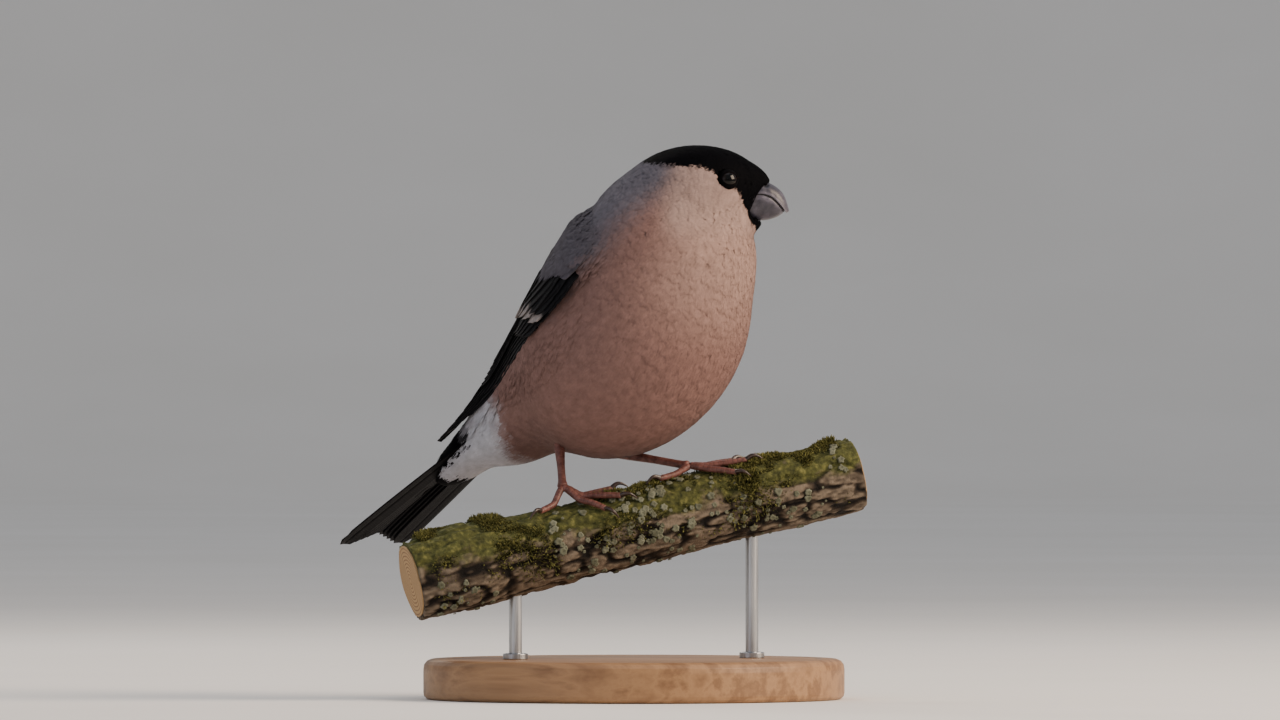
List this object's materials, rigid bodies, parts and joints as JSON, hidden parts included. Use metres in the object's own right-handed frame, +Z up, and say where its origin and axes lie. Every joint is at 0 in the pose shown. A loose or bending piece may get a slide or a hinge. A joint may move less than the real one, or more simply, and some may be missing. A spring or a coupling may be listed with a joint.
{
  "type": "perched hen bullfinch model",
  "caption": "Life-size still model of a hen bullfinch gripping a short cut length of branch on a plain round display stand.",
  "frame": {"origin": "middle of the flat underside of the round base", "axes": "+X the way the breast faces, +Y the bird's left, +Z up; the head is turned about 38 degrees to the bird's left"},
  "size_m": [0.1331, 0.104, 0.1365],
  "materials": {
    "black_plumage": "glossy blue-black feathers, modelled",
    "grey_plumage": "soft grey body feathers, modelled",
    "breast_plumage": "soft pinkish-brown body feathers, modelled",
    "eye_gloss": "wet dark brown, glossy",
    "bill_horn": "dark grey horn with a soft sheen",
    "shank_skin": "pinkish-brown scaled skin",
    "bark": "rough mossy bark with grey lichen",
    "oiled_wood": "oiled turned hardwood",
    "rod_steel": "brushed steel"
  },
  "bodies": {
    "root": {"head": "black_plumage", "neck": "grey_plumage", "torso": "breast_plumage", "tail": "black_plumage", "wing_left": "black_plumage", "wing_right": "black_plumage", "eye_left": "eye_gloss", "eye_right": "eye_gloss", "bill_upper": "bill_horn", "bill_lower": "bill_horn", "leg_left": "shank_skin", "leg_right": "shank_skin", "foot_left": "shank_skin", "foot_right": "shank_skin", "perch_branch": "bark", "stand_base": "oiled_wood", "stand_rod_high": "rod_steel", "stand_rod_low": "rod_steel"}
  },
  "joints": []
}
